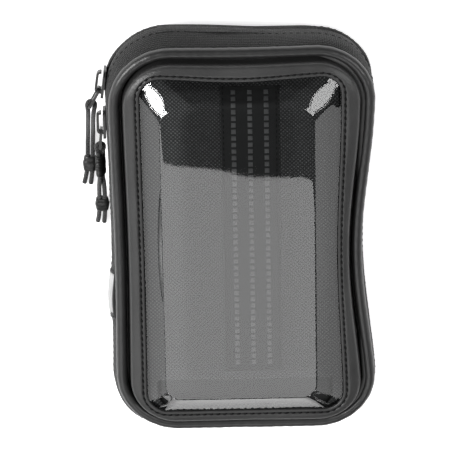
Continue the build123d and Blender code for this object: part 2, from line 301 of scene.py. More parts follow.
FOAM = plastic_material("foam_cells", 0.05, 0.11, rough=(0.85, 0.95), spec=0.2, bump=0.0004, scale=1500)
BOARD = plastic_material("stiffener_sheet", 0.05, 0.07, rough=(0.5, 0.65))
MAGNET = plastic_material("plated_magnet", 0.35, 0.5, rough=(0.25, 0.4))
METAL = coated_metal("black_lacquer", 0.006, 0.04)
CORD = braid_material("cord_braid", 0.008, 0.05)
# near-black twine for the lower pull's binding: painted shade where that cord lies in shadow
SHADE_WRAP = plastic_material("shade_binding_twine", 0.002, 0.006, rough=(0.35, 0.55), bump=0.0001, scale=1500)
CRIMP = plastic_material("crimp_plastic", 0.008, 0.016, rough=(0.32, 0.45))
LABEL = cloth_material("label_weave", 0.28, 0.68, 0.55, bump=0.00008)
LABEL_EDGE = cloth_material("label_edge", 0.015, 0.03, 0.4, bump=0.00005)

# ------------------------------------------------------------------ outlines

SIDE_N, END_N, CORNER_N = 132, 76, 36  # points on a side, an end and a corner
WAIST_Y, WAIST_HALF = -4.0, 76.0  # middle of the waist and half its length


def outline(left, right, top, bottom, radius, waist=(0.0, 0.0), dip=0.0):
    """Points round a waisted rounded rectangle, each at the same place round it."""
    tr, tl, bl, br = radius if isinstance(radius, tuple) else (radius,) * 4
    pts = []
    pts += [(right, y) for y in np.linspace(bottom + br, top - tr, SIDE_N, endpoint=False)]
    pts += arc(right - tr, top - tr, tr, 0)
    pts += [(x, top) for x in np.linspace(right - tr, left + tl, END_N, endpoint=False)]
    pts += arc(left + tl, top - tl, tl, 90)
    pts += [(left, y) for y in np.linspace(top - tl, bottom + bl, SIDE_N, endpoint=False)]
    pts += arc(left + bl, bottom + bl, bl, 180)
    pts += [(x, bottom) for x in np.linspace(left + bl, right - br, END_N, endpoint=False)]
    pts += arc(right - br, bottom + br, br, 270)
    p = np.array(pts)
    cx, cy = (left + right) / 2, (top + bottom) / 2
    f = np.cos(np.clip((p[:, 1] - WAIST_Y) / WAIST_HALF, -1, 1) * math.pi / 2) ** 2
    to_right = np.clip((p[:, 0] - cx) / (right - cx), 0, 1) ** 3
    to_left = np.clip((cx - p[:, 0]) / (cx - left), 0, 1) ** 3
    p[:, 0] += waist[0] * f * to_left - waist[1] * f * to_right
    g = np.cos(np.clip((p[:, 0] - cx) / (right - cx), -1, 1) * math.pi / 2) ** 2
    p[:, 1] -= dip * g * np.clip((p[:, 1] - cy) / (top - cy), 0, 1) ** 6
    return smoothed(p, 3)


def arc(cx, cy, r, start):
    a = np.radians(np.linspace(start, start + 90, CORNER_N, endpoint=False))
    return list(zip(cx + r * np.cos(a), cy + r * np.sin(a)))


def smoothed(p, times):
    for _ in range(times):
        p = (np.roll(p, 1, 0) + 2 * p + np.roll(p, -1, 0)) / 4
    return p


def normals(p):
    t = np.roll(p, -1, 0) - np.roll(p, 1, 0)
    n = np.stack([t[:, 1], -t[:, 0]], 1)
    return n / np.linalg.norm(n, axis=1)[:, None]


def grown(p, d):
    return p + normals(p) * (d if np.isscalar(d) else np.asarray(d)[:, None])


BASE_O = outline(-52.4, 52.6, 86.4, -90.5, 25.0, waist=(0.0, 5.0))
ZIP_O = outline(-56.9, 56.9, 95.7, -94.0, (25.0, 27.5, 26.0, 26.0), waist=(0.5, 4.9))
VALLEY_O = outline(-50.8, 53.0, 88.1, -86.3, (20.5, 22.5, 22.5, 21.5), waist=(0.9, 5.9), dip=0.7)
WINDOW_O = outline(-41.6, 42.6, 80.6, -78.7, (7.5, 8.5, 8.5, 8.0), waist=(0.3, 2.1), dip=2.2)
HEAD_O = outline(-34.2, 32.0, 69.9, -70.2, (7.0, 7.5, 7.0, 7.0))
N = len(ZIP_O)


def hump(p, x, y, r):
    return np.exp(-((p[:, 0] - x) ** 2 + (p[:, 1] - y) ** 2) / (r * r))


def slack(p, z):
    """How far the filled cloth stands out of its pattern at that height."""
    rise = np.exp(-(((z - 15.0) / 9.0) ** 2))
    low = np.exp(-(((z - 6.0) / 3.6) ** 2))
    out = 0.6 * hump(p, -30, 95, 28) + 0.8 * hump(p, 50, -82, 24) - 2.0 * hump(p, 28, 95, 34)
    out = out + 2.6 * hump(p, -46, -90, 16)
    sides = 1.7 * hump(p, -57, -62, 24) - 2.4 * hump(p, 24, 93, 26) - 2.2 * hump(p, -56, 84, 17)
    return out * rise + sides * low


def hug(p):
    """How far the side cloth is drawn in beside the waist, on the left."""
    return 0.5 * np.exp(-(((p[:, 0] + 57) / 10) ** 2)) * np.exp(-(((p[:, 1] + 5) / 66) ** 4))


def wrinkles(p, z, size, amount, seed=0.0):
    """Soft noise of about that size, in mm, one value for each point."""
    s = 1.0 / size
    spots = [Vector((x * s, y * s, h * s * 1.6 + seed)) for x, y, h in level(p, z)]
    return amount * np.array([noise.noise(spot) for spot in spots])


def level(p, z):
    """3-D points of an outline, at one height or one per point."""
    return np.column_stack([p, np.full(len(p), z) if np.isscalar(z) else z])


def ring(o, out, z):
    """The same, out beyond the outline."""
    return level(grown(o, out), z)


def mixed(a, b, t):
    return a * (1 - t) + b * t


def spine(o, reach):
    """The line an outline shrinks to, the same seen from its left and its right."""
    facing = (2 * SIDE_N + 2 * CORNER_N + END_N - np.arange(N)) % N
    y = (o[:, 1] + o[facing, 1]) / 2
    return np.column_stack([np.zeros(N), np.clip(y, -reach, reach)])


# ------------------------------------------------------------------ meshes


def mesh_object(name, verts, faces, material, uvs=None, smooth=True):
    me = bpy.data.meshes.new(name)
    me.from_pydata((np.asarray(verts, float) * MM).tolist(), [], [tuple(f) for f in faces])
    if uvs is not None:
        layer = me.uv_layers.new(name="UVMap")
        idx = np.zeros(len(me.loops), np.int32)
        me.loops.foreach_get("vertex_index", idx)
        layer.data.foreach_set("uv", np.asarray(uvs, np.float32)[idx].ravel())
    me.polygons.foreach_set("use_smooth", [smooth] * len(me.polygons))
    me.materials.append(material)
    return shown(name, me)


def shown(name, data):
    """A new object in the scene."""
    o = bpy.data.objects.new(name, data)
    bpy.context.scene.collection.objects.link(o)
    return o


def outward(o, weld=False):
    """Turns the faces outward, once points that coincide are joined."""
    bm = bmesh.new()
    bm.from_mesh(o.data)
    if weld:
        bmesh.ops.remove_doubles(bm, verts=bm.verts[:], dist=2e-5)
    bmesh.ops.recalc_face_normals(bm, faces=bm.faces[:])
    bm.to_mesh(o.data)
    bm.free()
    return o


def bands(start, count, sides):
    """Quads between rings of points that are listed one after another."""
    faces = []
    for k in range(start, start + (count - 1) * sides, sides):
        for j in range(sides):
            j2 = (j + 1) % sides
            faces.append((k + j, k + j2, k + sides + j2, k + sides + j))
    return faces


def cap(start, sides):
    return tuple(range(start, start + sides))


def lofted(name, rings, material, around=True, closed=True, weld=False):
    """A skin over rings of points. closed joins the last ring to the first."""
    rings = [np.asarray(r, float) for r in rings]
    n = len(rings[0])
    verts = np.concatenate(rings)
    long = np.linalg.norm(np.diff(np.vstack([rings[0], rings[0][:1]]), axis=0), axis=1)
    u = np.concatenate([[0], np.cumsum(long)])[:n]
    v = 0.0
    uvs = []
    for k, r in enumerate(rings):
        if k:
            v += float(np.linalg.norm(r - rings[k - 1], axis=1).mean())
        uvs.append(np.column_stack([u, np.full(n, v)]))
    faces = []
    last = len(rings) if closed else len(rings) - 1
    for k in range(last):
        a, b = k * n, ((k + 1) % len(rings)) * n
        for i in range(n if around else n - 1):
            j = (i + 1) % n
            faces.append((a + i, a + j, b + j, b + i))
    if not around and closed:
        faces.append(tuple(k * n for k in range(len(rings))))
        faces.append(tuple(k * n + n - 1 for k in reversed(range(len(rings)))))
    return outward(mesh_object(name, verts, faces, material, np.concatenate(uvs)), weld)


def tube_ring(o, out, z, radius, name, material, sides):
    """A piping round an outline; its radius is one value or one per point."""
    p = grown(o, out)
    r = np.full(N, radius) if np.isscalar(radius) else radius
    rings = []
    for k in range(sides):
        a = 2 * math.pi * k / sides
        rings.append(level(p + normals(p) * (math.cos(a) * r)[:, None], z + math.sin(a) * r))
    return lofted(name, rings, material)


def spaced(path, pitch, closed=True):
    """Points, directions and indices at equal steps along a path."""
    p = np.vstack([path, path[:1]]) if closed else path
    seg = np.linalg.norm(np.diff(p, axis=0), axis=1)
    s = np.concatenate([[0], np.cumsum(seg)])
    count = max(2, int(round(s[-1] / pitch)))
    at = np.arange(count) * s[-1] / count if closed else np.linspace(0, s[-1], count)

    def at_step(step):
        spot = (at + step) % s[-1] if closed and step else at + step
        return np.column_stack([np.interp(spot, s, p[:, k]) for k in range(p.shape[1])])

    d = at_step(0.4) - at_step(-0.4)
    d /= np.linalg.norm(d, axis=1)[:, None] + 1e-9
    return at_step(0.0), d


def stitches(name, path, up, pitch, length, width, high, tilt, closed=True):
    """A row of thread stitches, each a small bowed strand that dives at its ends."""
    q, d = spaced(path, pitch, closed)
    verts, faces = [], []
    steps, sides = 6, 6
    for p, t in zip(q, d):
        u = up(p) if callable(up) else np.asarray(up, float)
        u = u / np.linalg.norm(u)
        side = np.cross(u, t)
        side /= np.linalg.norm(side) + 1e-9
        a = math.radians(tilt + rng.uniform(-3, 3))
        t2 = t * math.cos(a) + side * math.sin(a)
        s2 = np.cross(u, t2)
        half = length / 2 * rng.uniform(0.9, 1.08)
        start = len(verts)
        for k in range(steps + 1):
            f = -1 + 2 * k / steps
            thick = math.sqrt(max(0.02, 1 - f * f * 0.9))
            centre = p + t2 * f * half + u * (high * (1 - 1.7 * f * f))
            for j in range(sides):
                b = 2 * math.pi * j / sides
                across = s2 * math.cos(b) * width / 2 * thick
                verts.append(centre + across + u * math.sin(b) * width * 0.36 * thick)
        faces += bands(start, steps + 1, sides)
        faces.append(cap(start, sides)[::-1])
        faces.append(cap(start + steps * sides, sides))
    return mesh_object(name, np.array(verts), faces, THREAD)


def body(o, name, slot, *nodes):
    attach(o, name)
    if nodes:
        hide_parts(*nodes)
    return o


def shell(wall, heights):
    """Rings up a wall's outer face and back down its inner one."""
    return [wall(f) for f in heights] + [wall(f, CLOTH) for f in heights[::-1]]


# ------------------------------------------------------------------ lower half

Z_ZIP = 16.0
FRONT_Y = 80.0  # beyond this the zip ends and the hinge begins
CLOTH = 1.1  # thickness of the side cloth and its foam
SEAM = dict(pitch=3.0, length=2.1, width=0.5, high=0.12, tilt=5)
TRIM = dict(width=0.4, tilt=0, closed=False)


def to_front(o):
    """0 along the sides, rising to 1 at the front end."""
    return np.clip((o[:, 1] - FRONT_Y) / 8, 0, 1)


def lower_wall(f, inset=0.0):
    """The back gusset's face, from the base (0) to the zip (1)."""
    z = mixed(1.0, 14.6, f)
    o = mixed(BASE_O, ZIP_O, min(1.0, f * 1.2))
    out = 0.35 * f + 1.0 * math.sin(math.pi * min(1, f)) + slack(o, z) - hug(o)
    out = out + wrinkles(o, z, 17, 0.35 * math.sin(math.pi * f) ** 0.7 if 0 < f < 1 else 0.0, 3.0) - inset
    out = out - 1.4 * f**5 * to_front(o)
    return ring(o, out, z)


gusset_back = lofted("back_gusset_cloth", shell(lower_wall, np.linspace(0, 1, 12)), CORDURA)
body(gusset_back, "base", "woven_cloth", "back_gusset")

grip_edge = [(0.9, 1.0), (0.1, 0.95), (0.0, 0.75), (0.1, 0.45), (0.9, 0.35)]
grip_rings = [ring(BASE_O, 0.2 - d, z) for d, z in grip_edge]
grip_o, core_o = grown(BASE_O, -0.7), spine(BASE_O, 40)
grip_rings += [level(mixed(grip_o, core_o, t), 0.35) for t in (0.25, 0.5, 0.75, 1.0)]
top_fill = [level(mixed(grip_o, core_o, t), 1.0) for t in (1.0, 0.5)]
grip = lofted("base_grip_pad", grip_rings + top_fill, RUBBER, weld=True)
body(grip, "base", "grip_rubber", "base_grip")


def inside(o, x, y, margin):
    """True where a point lies inside an outline by that margin."""
    n = normals(o)
    d = np.array([x, y]) - o
    k = int(np.argmin((d**2).sum(1)))
    return float((d[k] * n[k]).sum()) < -margin


def studs():
    """Low diamonds under the base that keep it from sliding."""
    verts, faces = [], []
    for r, y in enumerate(np.arange(-87, 88, 3.4)):
        for x in np.arange(-51 + (r % 2) * 3.0, 52, 6.0):
            if not inside(BASE_O, x, y, 4.5):
                continue
            s = len(verts)
            for w, z in ((1.0, 0.36), (0.72, 0.02)):
                wide, deep = 2.3 * w, 1.25 * w
                verts += [(x - wide, y, z), (x, y - deep, z), (x + wide, y, z), (x, y + deep, z)]
            faces.append((s + 4, s + 7, s + 6, s + 5))
            for j in range(4):
                j2 = (j + 1) % 4
                faces.append((s + j, s + 4 + j, s + 4 + j2, s + j2))
    return outward(mesh_object("base_grip_studs", np.array(verts), faces, RUBBER, smooth=False))


body(studs(), "base", "grip_rubber")
base_pipe = tube_ring(BASE_O, 1.9, 1.55, 1.35, "base_piping", WELT, 14)
body(base_pipe, "base", "welt_skin", "base_welt")

# The lining over the base board, slightly wrinkled.
lin = grown(BASE_O, -1.3)
lin_core = spine(lin, 42)
lining_rings = []
for t in np.linspace(0, 1, 26):
    xy = mixed(lin, lin_core, t)
    lift = 0.25 + wrinkles(xy, 0, 14, 0.32, 9.0) + wrinkles(xy, 0, 5, 0.1, 4.0)
    lining_rings.append(level(xy, 5.35 + np.clip(lift, 0, 0.8) * min(1, t * 8)))
flat_back = [level(mixed(lin, lin_core, t), 5.05) for t in (1.0, 0.5, 0.0)]
lining = lofted("base_lining_cloth", flat_back + lining_rings, LINING, closed=False, weld=True)
body(lining, "base", "lining_cloth", "base_lining")

# ------------------------------------------------------------------ zip


def zip_span(o):
    """Indices of the zip's run: all of the outline but its front end."""
    keep = ~((o[:, 1] > FRONT_Y) & (np.abs(o[:, 0]) < 33.0))
    first = int(np.argmax(~keep))
    return [i % N for i in range(first, first + N) if keep[i % N]]


RUN = zip_span(ZIP_O)


def zip_ring(out, z):
    return ring(ZIP_O, slack(ZIP_O, z) + out, z)[RUN]


def tape(name, z0, z1, owner, node):
    face = ((-1.75, z0), (-1.5, z0 + 0.15), (-1.5, z1 - 0.15), (-1.75, z1))
    outer = [zip_ring(out, z) for out, z in face]
    inner = [zip_ring(-2.4, z) for z in (z1, z0)]
    o = lofted(name, outer + inner, TAPE, around=False)
    return body(o, owner, "tape_cloth", node)


tape("lower_tape_cloth", 11.2, 15.2, "base", "lower_zip_tape")
tape("upper_tape_cloth", 16.8, 20.6, "lid", "upper_zip_tape")


def teeth(name, z_root, z_head, phase, owner, node):
    """One side of the coil: a row of rounded nylon teeth with swollen heads."""
    q, d = spaced(zip_ring(-1.15, Z_ZIP), 1.34, closed=False)
    verts, faces = [], []
    profile = [
        (0.0, 0.30, 0.30), (0.08, 0.42, 0.62), (0.45, 0.40, 0.66), (0.72, 0.44, 0.70), (0.88, 0.56, 0.72),
        (0.97, 0.42, 0.5), (1.0, 0.16, 0.2),
    ]
    sides = 8
    for i in range(len(q) - 1):
        p = mixed(q[i], q[i + 1], phase)
        t = d[i]
        n = np.array([t[1], -t[0], 0.0])
        start = len(verts)
        for f, wide, deep in profile:
            z = mixed(z_root, z_head, f)
            for j in range(sides):
                b = 2 * math.pi * j / sides
                x, y, _ = p + t * math.cos(b) * wide * 0.8 + n * math.sin(b) * deep
                verts.append((x, y, z))
        faces += bands(start, len(profile), sides)
        faces.append(cap(start + (len(profile) - 1) * sides, sides))
        faces.append(cap(start, sides)[::-1])
    o = outward(mesh_object(name, np.array(verts), faces, COIL))
    return body(o, owner, "coil_plastic", node)


teeth("lower_coil_teeth", 14.0, 16.5, 0.0, "base", "lower_zip_coil")
teeth("upper_coil_teeth", 18.0, 15.5, 0.5, "lid", "upper_zip_coil")

# ------------------------------------------------------------------ front end

# Indices of the stretch that the zip leaves free for the hinge.
CUT = [i for i in range(N) if ZIP_O[i, 1] > FRONT_Y and abs(ZIP_O[i, 0]) < 34.2]


def hinge_wall(z, inset=0.0):
    out = slack(ZIP_O, z) - 0.2 + wrinkles(ZIP_O, z, 15, 0.2, 6.0) - inset
    return ring(ZIP_O, out, z)[CUT]


hinge = lofted("hinge_cloth", shell(hinge_wall, np.linspace(13.2, 19.2, 10)), CORDURA, around=False)
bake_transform(hinge)
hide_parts("hinge_gusset")


def block(name, box, material, bevel, turn=None, at=(0, 0, 0)):
    """A small sewn tab or strip: a bevelled, subdivided slab."""
    bm = bmesh.new()
    bmesh.ops.create_cube(bm, size=1.0)
    bmesh.ops.scale(bm, vec=Vector(box) * MM, verts=bm.verts[:])
    bmesh.ops.bevel(bm, geom=bm.edges[:], offset=bevel * MM, segments=3, affect="EDGES", profile=0.5)
    if turn is not None:
        bmesh.ops.rotate(bm, matrix=turn, verts=bm.verts[:])
    bmesh.ops.translate(bm, vec=Vector(at) * MM, verts=bm.verts[:])
    me = bpy.data.meshes.new(name)
    bm.to_mesh(me)
    bm.free()
    uv = me.uv_layers.new(name="UVMap")
    for loop in me.loops:
        c = me.vertices[loop.vertex_index].co
        uv.data[loop.index].uv = (c.x / MM, (c.y + c.z) / MM)
    me.polygons.foreach_set("use_smooth", [True] * len(me.polygons))
    me.materials.append(material)
    return shown(name, me)


def middle(node):
    low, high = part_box(node)
    return (low + high) / 2 / MM


tabs = middle("zip_end_tabs")
lean = Matrix.Rotation(-math.atan2(4.7, 11.0), 3, "X")
for side, x in (("left", -26.0), ("right", 26.0)):
    o = block(f"zip_end_tab_{side}", (7.0, 0.9, 5.2), TAPE, 0.3, lean, (x, tabs.y, tabs.z))
    body(o, "base", "tape_cloth", "zip_end_tabs")

# ------------------------------------------------------------------ lid sides

LID_RUN_TOP = 3.3  # where the gusset meets the welt, beyond VALLEY_O

# The hem hides the upper tape, and the coil too where the zip nears the hinge.
HEM_Z = 17.5 - 2.6 * to_front(ZIP_O)


def upper_wall(f, inset=0.0):
    """The front gusset's face, from the zip (0) to the welt (1)."""
    z = mixed(HEM_Z, 28.6, f)
    o = mixed(ZIP_O, grown(VALLEY_O, LID_RUN_TOP), f)
    out = 0.35 + 0.85 * math.sin(math.pi * f) + slack(o, z) * (1 - f) ** 0.5 - hug(o) * (1 - f)
    out = out + 2.0 * hump(o, -57, -28, 13) * math.sin(math.pi * f) ** 0.7
    out = out + wrinkles(o, z, 16, 0.4 * math.sin(math.pi * f) ** 0.6 if 0 < f < 1 else 0.0, 1.0) - inset
    if f < 0.08:
        out = out - 0.25
    return ring(o, out, z)


gusset_front = lofted("front_gusset_cloth", shell(upper_wall, np.linspace(0, 1, 14)), CORDURA)
body(gusset_front, "lid", "woven_cloth", "front_gusset")


def out_from(path):
    """The way out from a closed path, tipped up a little, at any of its points."""
    n = normals(path[:, :2])

    def up(p):
        k = int(np.argmin(((path[:, :2] - p[:2]) ** 2).sum(1)))
        return np.array([n[k, 0], n[k, 1], 0.25])

    return up


seam_path = upper_wall(0.3, 0.1)
body(stitches("zip_seam_stitches", seam_path, out_from(seam_path), **SEAM), "lid", "woven_cloth")
low_path = lower_wall(0.78, 0.12)
low_seam = stitches("base_seam_stitches", low_path[RUN], out_from(low_path), **SEAM, closed=False)
body(low_seam, "base", "woven_cloth")

pucker = 0.05 * np.sin(np.arange(N) * 1.1) + wrinkles(VALLEY_O, 0, 9, 0.10, 2.0)
welt = tube_ring(VALLEY_O, 2.65, 29.5, 2.35 + pucker, "lid_piping", WELT, 22)
body(welt, "lid", "welt_skin", "lid_welt")

# ------------------------------------------------------------------ padded face

STITCH_O = grown(WINDOW_O, 2.45)
panel_profile = [
    (-0.14, 26.3), (0.0, 26.2), (0.10, 26.4), (0.14, 27.2), (0.15, 29.2), (0.16, 31.2), (0.172, 32.6),
    (0.195, 33.7), (0.22, 34.2), (0.26, 34.7), (0.32, 35.05), (0.40, 35.3), (0.52, 35.55), (0.65, 35.8),
    (0.78, 35.98), (0.88, 36.02), (0.94, 35.85), (0.98, 35.5), (1.0, 35.1), (1.06, 34.7),
]
dents = 0.10 * np.cos(np.arange(N) * 2 * math.pi / 5.6)
panel_under = [(1.06, 34.3), (0.6, 33.9), (0.3, 31.0), (0.2, 28.4), (0.1, 25.9), (-0.12, 25.9)]
panel_rings = []
for w, z in panel_profile:
    xy = mixed(VALLEY_O, STITCH_O, w)
    sag = (wrinkles(xy, 0, 24, 0.45, 7.0) + wrinkles(xy, 0, 7, 0.12, 8.0)) * min(1, max(0, w * 4))
    if w > 0.85:
        sag = sag * 0.3 + dents * (w - 0.85) / 0.15 * 0.5
    panel_rings.append(level(xy, z + sag))
under = [level(mixed(VALLEY_O, STITCH_O, w), z) for w, z in panel_under]
panel = lofted("face_panel_skin", panel_rings + under, LEATHER)
body(panel, "lid", "face_leather", "face_panel")

strip_profile = [
    (2.55, 34.8), (2.5, 35.35), (2.4, 35.65), (2.2, 35.85), (1.9, 35.98), (1.55, 36.02), (1.2, 35.95),
    (0.95, 35.75), (0.8, 35.4), (0.75, 35.0),
]
strip_rings = []
for out, z in strip_profile:
    p = grown(WINDOW_O, out)
    lift = wrinkles(p, 0, 10, 0.14, 11.0) + (dents * 0.6 if 1.9 < out < 2.45 else 0)
    strip_rings.append(level(p, z + lift))
strip_rings += [ring(WINDOW_O, 0.75, 34.85), ring(WINDOW_O, 2.55, 34.5)]
strip = lofted("window_edging", strip_rings, EDGING)
body(strip, "lid", "face_leather", "window_binding")

stitch_path = ring(WINDOW_O, 2.5, 35.75)
bold = dict(pitch=3.0, length=2.3, width=0.8, high=0.42, tilt=12)
face_seam = stitches("face_stitches", stitch_path, (0, 0, 1), **bold)
body(face_seam, "lid", "face_leather")

# ------------------------------------------------------------------ window

FILM_FOOT, FILM_HEAD, FILM_TOP = 35.65, 42.5, 42.72  # heights: the wall's foot and head, the flat top
film_foot = grown(WINDOW_O, 0.75)
wall_v = [0.0, 0.02, 0.05, *np.linspace(0.09, 0.91, 22), 0.95, 0.98, 1.0]
# Each corner's middle index, counted from top right, and how far its leaf reaches.
QUARTER = CORNER_N // 2
LEAVES = [
    (SIDE_N + QUARTER, 12.0),
    (SIDE_N + CORNER_N + END_N + QUARTER, 10.0),
    (2 * SIDE_N + 2 * CORNER_N + END_N + QUARTER, 7.0),
    (2 * SIDE_N + 3 * CORNER_N + 2 * END_N + QUARTER, 7.0),
]


def film_ring(v):
    """One turn of the film's wall; each corner holds a flat leaf-shaped facet."""
    belly = math.sin(math.pi * v)
    xy = mixed(film_foot, HEAD_O, v)
    p = ring(xy, -0.3 * belly, mixed(FILM_FOOT, FILM_HEAD, v))
    p[:, 2] += wrinkles(xy, FILM_FOOT, 40, 0.12, 12.0) * belly
    shaped = p.copy()
    reach, inner = QUARTER + 8, 8
    for mid, width in LEAVES:
        half = max(0.05, width * belly**0.75)
        lo, hi = sample(p, mid - half), sample(p, mid + half)
        for j in range(-reach, reach + 1):
            if abs(j) <= inner:
                t = (j / inner + 1) / 2
                q = lo * (1 - t) + hi * t
                if abs(j) == inner:
                    q = q + np.array([*(normals(xy)[mid % N] * 0.22), 0.12]) * belly
            else:
                step = half + (abs(j) - inner) / (reach - inner) * (reach - half)
                q = sample(p, mid + math.copysign(step, j))
            shaped[(mid + j) % N] = q
    return shaped


def sample(p, k):
    i = int(math.floor(k))
    return p[i % N] * (1 - (k - i)) + p[(i + 1) % N] * (k - i)


def film_top(t):
    """One turn of the film's flat top, drawn in towards its middle line by t."""
    xy = mixed(HEAD_O, spine(HEAD_O, 38), t)
    return level(xy, FILM_TOP + wrinkles(xy, 0, 60, 0.14, 14.0) * min(1, t * 6))


film_rings = [ring(WINDOW_O, out, z) for out, z in ((2.3, 34.5), (1.1, 34.6), (0.85, 35.3))]
film_rings += [film_ring(v) for v in wall_v]
film_rings += [ring(HEAD_O, -d, z) for d, z in ((0.15, 42.6), (0.35, 42.68), (0.7, FILM_TOP))]
film_rings += [film_top(t) for t in np.linspace(0.04, 1, 22)]
film_o = lofted("window_film_shell", film_rings, FILM, closed=False, weld=True)
body(film_o, "lid", "clear_film", "window_film")

# ------------------------------------------------------------------ pocket


def span_of(o, y):
    """Left and right x of an outline at one y."""
    p = np.vstack([o, o[:1]])
    xs = []
    for a, b in zip(p, p[1:]):
        if (a[1] - y) * (b[1] - y) <= 0 and a[1] != b[1]:
            xs.append(a[0] + (b[0] - a[0]) * (y - a[1]) / (b[1] - a[1]))
    return (min(xs), max(xs)) if xs else (0.0, 0.0)


def row_sheet(name, o, rows, cols, z_of, thick, material, hole):
    """A flat cut of cloth inside an outline, with a slot where hole says."""
    verts, uvs, keep = [], [], []
    for y in rows:
        l, r = span_of(o, y)
        for c in cols:
            x = l + (r - l) * c
            verts.append((x, y, z_of(x, y)))
            uvs.append((x, y))
    n, m = len(rows), len(cols)
    top = len(verts)
    verts += [(x, y, z - thick) for x, y, z in verts]
    uvs += uvs
    cell = set()
    for j in range(n - 1):
        for i in range(m - 1):
            mid_y = (rows[j] + rows[j + 1]) / 2
            mid_c = (cols[i] + cols[i + 1]) / 2
            if not (hole[0] < mid_y < hole[1] and hole[2] < mid_c < hole[3]):
                cell.add((j, i))
    for j, i in sorted(cell):
        a, b, c, d = j * m + i, j * m + i + 1, (j + 1) * m + i + 1, (j + 1) * m + i
        keep.append((a, b, c, d))
        keep.append((a + top, d + top, c + top, b + top))
        for (dj, di), (p, q) in (((-1, 0), (a, b)), ((0, 1), (b, c)), ((1, 0), (c, d)), ((0, -1), (d, a))):
            if (j + dj, i + di) not in cell:
                keep.append((q, p, p + top, q + top))
    sheet = mesh_object(name, np.array(verts), keep, material, uvs)
    bm = bmesh.new()
    bm.from_mesh(sheet.data)
    bmesh.ops.delete(bm, geom=[v for v in bm.verts if not v.link_faces], context="VERTS")
    bm.to_mesh(sheet.data)
    bm.free()
    return outward(sheet)


MOUTH = (-78.0, -65.0, 0.075, 0.925)  # the pocket's slot: y from and to, share of the width from and to
back_o = grown(WINDOW_O, 2.8)
rows = sorted([*np.linspace(back_o[:, 1].min() + 0.05, back_o[:, 1].max() - 0.05, 90), *MOUTH[:2]])
cols = sorted([*np.linspace(0, 1, 46), *MOUTH[2:]])


def back_z(x, y):
    return 33.75 + 0.25 * noise.noise(Vector((x / 22, y / 22, 5.0))) - 0.12


pocket = row_sheet("pocket_back_cloth", back_o, rows, cols, back_z, 0.75, DOTTED, MOUTH)
body(pocket, "lid", "dotted_cloth", "pocket_back")


TAPE_X, TAPE_HALF = 4.4, 12.4  # the keeper tape's middle and half its width


def tape_piece():
    """The woven keeper tape, a little thinner along its selvedges."""
    ys = np.linspace(-61.0, 76.8, 150)
    rings = []
    for x in np.linspace(-TAPE_HALF, TAPE_HALF, 26):
        lift = np.array([noise.noise(Vector((x / 15, y / 20, 2.0))) for y in ys])
        selvedge = 0.16 if abs(x) > TAPE_HALF - 0.2 else 0.0
        rings.append(np.column_stack([np.full(len(ys), TAPE_X + x), ys, 34.67 + 0.10 * lift - selvedge]))
    for x in (TAPE_HALF, -TAPE_HALF):
        rings.append(np.column_stack([np.full(len(ys), TAPE_X + x), ys, np.full(len(ys), 34.0)]))
    return lofted("keeper_tape_cloth", rings, TAPE, around=False)


body(tape_piece(), "lid", "tape_cloth", "keeper_tape")


def marks():
    """Plain raised blocks woven into the tape, generic in place of lettering."""
    verts, faces = [], []
    for row in (-7.0, 0.0, 7.0):
        x, y = TAPE_X + row, 74.2
        while y > -58:
            start = len(verts)
            for inset, z in ((0.0, 34.6), (0.12, 34.95), (0.5, 35.0)):
                hx, hy = 1.0 - inset, 1.05 - inset
                verts += [(x - hx, y - hy, z), (x + hx, y - hy, z), (x + hx, y + hy, z), (x - hx, y + hy, z)]
            faces += bands(start, 3, 4)
            faces.append(cap(start + 8, 4))
            y -= 3.1
    return mesh_object("keeper_tape_marks", np.array(verts), faces, MARK, [(v[0], v[1]) for v in verts])


MARK = cloth_material("mark_weave", 0.05, 0.24, 0.5, bump=0.00008)
body(marks(), "lid", "tape_cloth")
for k, x in enumerate((-11.3, 11.3)):
    path = np.array([[TAPE_X + x, y, 34.66] for y in np.linspace(-60.5, 76.4, 120)])
    row = stitches(f"keeper_tape_stitches_{k}", path, (0, 0, 1), pitch=2.6, length=1.7, high=0.12, **TRIM)
    body(row, "lid", "tape_cloth")

# ------------------------------------------------------------------ inside of the lid


def lid_lining():
    """Lining that rings the lid's inside, from the welt's seam to the window."""
    outer, inner = grown(VALLEY_O, -0.9), grown(WINDOW_O, 3.4)
    rings = []
    for t in np.linspace(0, 1, 12):
        xy = mixed(outer, inner, t)
        crease = wrinkles(xy, 0, 10, 0.35, 15.0) * math.sin(math.pi * t)
        rings.append(level(xy, 27.6 + 3.6 * t**1.4 + crease))
    rings += [level(mixed(outer, inner, t), 28.1 + 3.6 * t**1.4) for t in (1.0, 0.5, 0.0)]
    return lofted("lid_lining_cloth", rings, LINING)


body(lid_lining(), "lid", "lining_cloth", "lid_lining")


FLAP_X = 0.9  # middle of the flap and of its hook and loop strips
FOLD_Y, HEM_Y = -60.1, -81.4


def flap():
    """The flap over the pocket's mouth, from its fold to its free hem."""
    xs = np.linspace(-37, 37, 60)
    face, lining = [], []
    for y in np.linspace(HEM_Y, FOLD_Y, 22):
        drop = 0.85 * min(1, (y - FOLD_Y) / (HEM_Y - FOLD_Y) * 5)
        z = np.array([32.5 - drop - 0.15 * noise.noise(Vector((x / 14, y / 9, 3.0))) for x in xs])
        face.append(np.column_stack([FLAP_X + xs, np.full(len(xs), y), z]))
        lining.append(np.column_stack([FLAP_X + xs, np.full(len(xs), y), z - 0.75]))
    return lofted("mouth_flap_cloth", face + lining[::-1], LINING, around=False)


flap_o = body(flap(), "pocket_flap", "lining_cloth", "mouth_flap")


